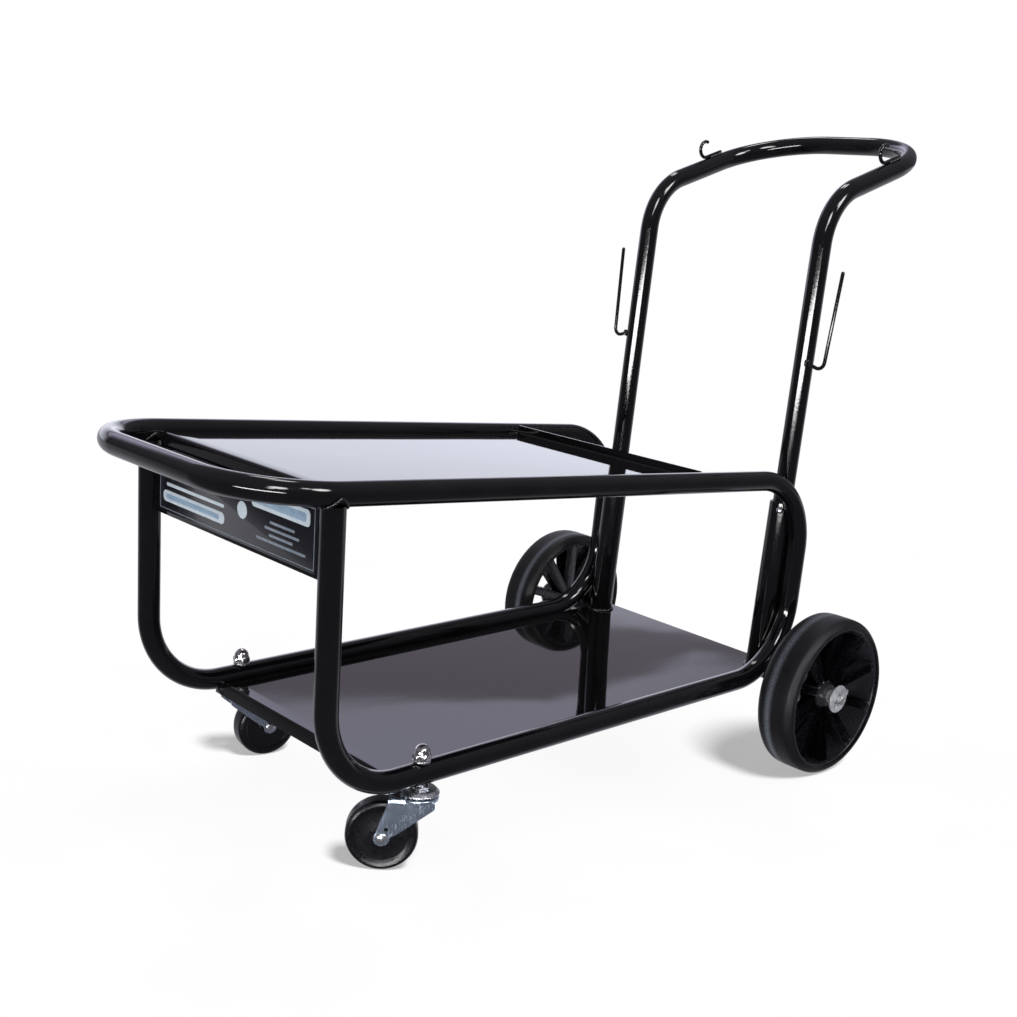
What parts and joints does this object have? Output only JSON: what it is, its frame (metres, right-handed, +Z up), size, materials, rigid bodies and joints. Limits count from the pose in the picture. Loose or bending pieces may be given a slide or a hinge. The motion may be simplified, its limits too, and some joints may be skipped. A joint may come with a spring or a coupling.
{
  "type": "welding equipment cart",
  "caption": "Empty tubular steel cart for a welding machine: looped top rail with shallow tray, lower shelf, push handle with wire hooks, rear wheels on an axle, swivel front casters.",
  "frame": {"origin": "on the floor under the middle of the cart's bounding box", "axes": "+Z up, -Y towards the casters and the front loop, +Y towards the push handle, +X towards the cart's left side"},
  "size_m": [0.544, 1.1129, 0.819],
  "materials": {
    "frame_paint": "gloss black enamel over tube",
    "deck_paint": "mirror-gloss black enamel on sheet",
    "panel_paint": "gloss black enamel on sheet",
    "weld_paint": "gloss black enamel over weld bead",
    "wire_paint": "gloss black enamel over wire",
    "decal_film": "printed film, dark ground with pale blue shapes",
    "tyre_rubber": "dull blue-grey rubber",
    "hub_plastic": "satin black moulded plastic",
    "bush_plastic": "plain bearing plastic",
    "axle_steel": "drawn bar",
    "zinc_steel": "bright zinc plating",
    "fork_zinc": "bright zinc plating on pressed sheet",
    "cap_nut_chrome": "polished",
    "ball_steel": "hardened and polished",
    "pin_steel": "zinc plated wire",
    "caster_tread": "hard black moulded wheel"
  },
  "bodies": {
    "frame": {"axle_gussets": "frame_paint", "axle_inner_washers": "zinc_steel", "axle_outer_washers": "zinc_steel", "axle_rod": "axle_steel", "axle_sleeve": "frame_paint", "axle_spacers": "zinc_steel", "bottom_shelf": "deck_paint", "cable_hook_left": "wire_paint", "cable_hook_right": "wire_paint", "caster_balls_left": "ball_steel", "caster_balls_right": "ball_steel", "caster_cap_nuts": "cap_nut_chrome", "caster_cup_left": "zinc_steel", "caster_cup_right": "zinc_steel", "caster_stem_left": "zinc_steel", "caster_stem_right": "zinc_steel", "caster_washers": "zinc_steel", "cotter_pins": "pin_steel", "front_loop_tube": "frame_paint", "front_panel": "panel_paint", "handle_clamp_screws": "zinc_steel", "handle_socket_left": "frame_paint", "handle_socket_right": "frame_paint", "handle_tube": "frame_paint", "hook_welds": "weld_paint", "lead_hook_left": "wire_paint", "lead_hook_right": "wire_paint", "panel_decal": "decal_film", "side_hoop_left": "frame_paint", "side_hoop_right": "frame_paint", "socket_welds": "weld_paint", "top_tray": "deck_paint", "upright_welds": "weld_paint"},
    "wheel_left": {"wheel_tyre_left": "tyre_rubber", "wheel_hub_left": "hub_plastic", "wheel_bush_left": "bush_plastic"},
    "caster_swivel_left": {"caster_fork_left": "fork_zinc", "caster_rivet_left": "zinc_steel"},
    "caster_wheel_left": {"caster_wheel_left": "caster_tread", "caster_bush_left": "bush_plastic"},
    "wheel_right": {"wheel_tyre_right": "tyre_rubber", "wheel_hub_right": "hub_plastic", "wheel_bush_right": "bush_plastic"},
    "caster_swivel_right": {"caster_fork_right": "fork_zinc", "caster_rivet_right": "zinc_steel"},
    "caster_wheel_right": {"caster_wheel_right": "caster_tread", "caster_bush_right": "bush_plastic"}
  },
  "joints": [
    {"name": "wheel_left_spin", "type": "hinge", "parent": "frame", "child": "wheel_left", "pos_m": [0.236, 0.2909, 0.1024], "axis": [1, 0, 0], "continuous": true},
    {"name": "caster_left_swivel", "type": "hinge", "parent": "frame", "child": "caster_swivel_left", "pos_m": [0.171, -0.3251, 0.083], "axis": [0, 0, 1], "continuous": true},
    {"name": "caster_left_spin", "type": "hinge", "parent": "caster_swivel_left", "child": "caster_wheel_left", "pos_m": [0.14818, -0.3523, 0.038], "axis": [0.766, -0.6428, 0], "continuous": true},
    {"name": "wheel_right_spin", "type": "hinge", "parent": "frame", "child": "wheel_right", "pos_m": [-0.236, 0.2909, 0.1024], "axis": [1, 0, 0], "continuous": true},
    {"name": "caster_right_swivel", "type": "hinge", "parent": "frame", "child": "caster_swivel_right", "pos_m": [-0.171, -0.3251, 0.083], "axis": [0, 0, 1], "continuous": true},
    {"name": "caster_right_spin", "type": "hinge", "parent": "caster_swivel_right", "child": "caster_wheel_right", "pos_m": [-0.16606, -0.28995, 0.038], "axis": [-0.9903, 0.1392, 0], "continuous": true}
  ]
}
